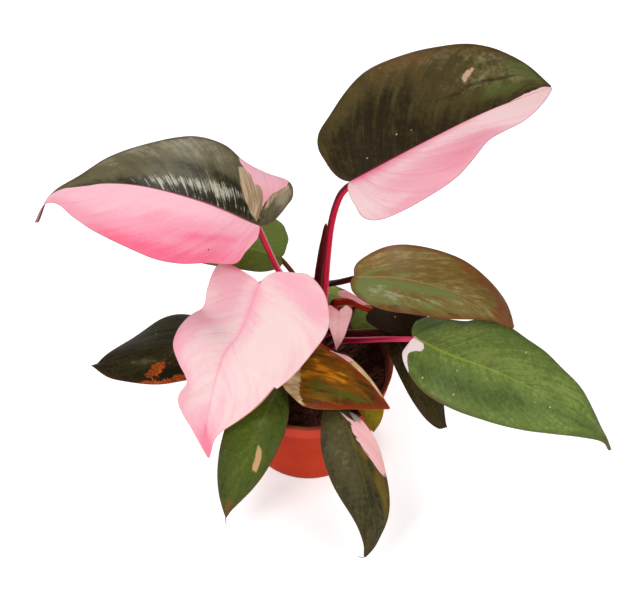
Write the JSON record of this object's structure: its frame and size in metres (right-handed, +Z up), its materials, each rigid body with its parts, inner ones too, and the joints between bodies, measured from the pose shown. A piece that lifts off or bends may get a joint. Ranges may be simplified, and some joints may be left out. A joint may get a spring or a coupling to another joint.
{
  "type": "potted pink princess philodendron",
  "caption": "Pink-variegated philodendron with heart-shaped leaves on arching stalks, growing in a round terracotta-coloured plastic nursery pot.",
  "frame": {"origin": "centre of the underside of the pot, on the surface it stands on", "axes": "+Z up; -Y towards the front, where the hanging leaves lean; +X towards the large green leaf on the right"},
  "size_m": [0.3905, 0.2471, 0.2739],
  "materials": {
    "terracotta_plastic": "matte",
    "potting_soil": "matte",
    "stem": "satin",
    "leaf_stalk": "satin",
    "sheath": "satin",
    "leaf_green": "satin",
    "leaf_dark": "satin",
    "leaf_pink": "satin",
    "leaf_bronze": "satin"
  },
  "bodies": {
    "root": {"pot": "terracotta_plastic", "soil": "potting_soil", "stem_tall": "stem", "stem_short": "stem", "blade_top_right": "leaf_pink", "stalk_top_right": "leaf_stalk", "blade_top_left": "leaf_pink", "stalk_top_left": "leaf_stalk", "blade_back_left": "leaf_green", "stalk_back_left": "leaf_stalk", "blade_centre_heart": "leaf_pink", "stalk_centre_heart": "leaf_stalk", "blade_left": "leaf_dark", "stalk_left": "leaf_stalk", "blade_front_left": "leaf_green", "stalk_front_left": "leaf_stalk", "blade_centre_orange": "leaf_bronze", "stalk_centre_orange": "leaf_stalk", "blade_front_small": "leaf_green", "stalk_front_small": "leaf_stalk", "blade_front_right": "leaf_dark", "stalk_front_right": "leaf_stalk", "blade_right": "leaf_green", "stalk_right": "leaf_stalk", "blade_mid_right": "leaf_bronze", "stalk_mid_right": "leaf_stalk", "blade_under_right": "leaf_dark", "stalk_under_right": "leaf_stalk", "blade_dark_right": "leaf_dark", "stalk_dark_right": "leaf_stalk", "blade_tiny_heart": "leaf_pink", "stalk_tiny_heart": "leaf_stalk", "blade_back": "leaf_green", "stalk_back": "leaf_stalk", "blade_low_right": "leaf_green", "stalk_low_right": "leaf_stalk", "sheath": "sheath"}
  },
  "joints": []
}
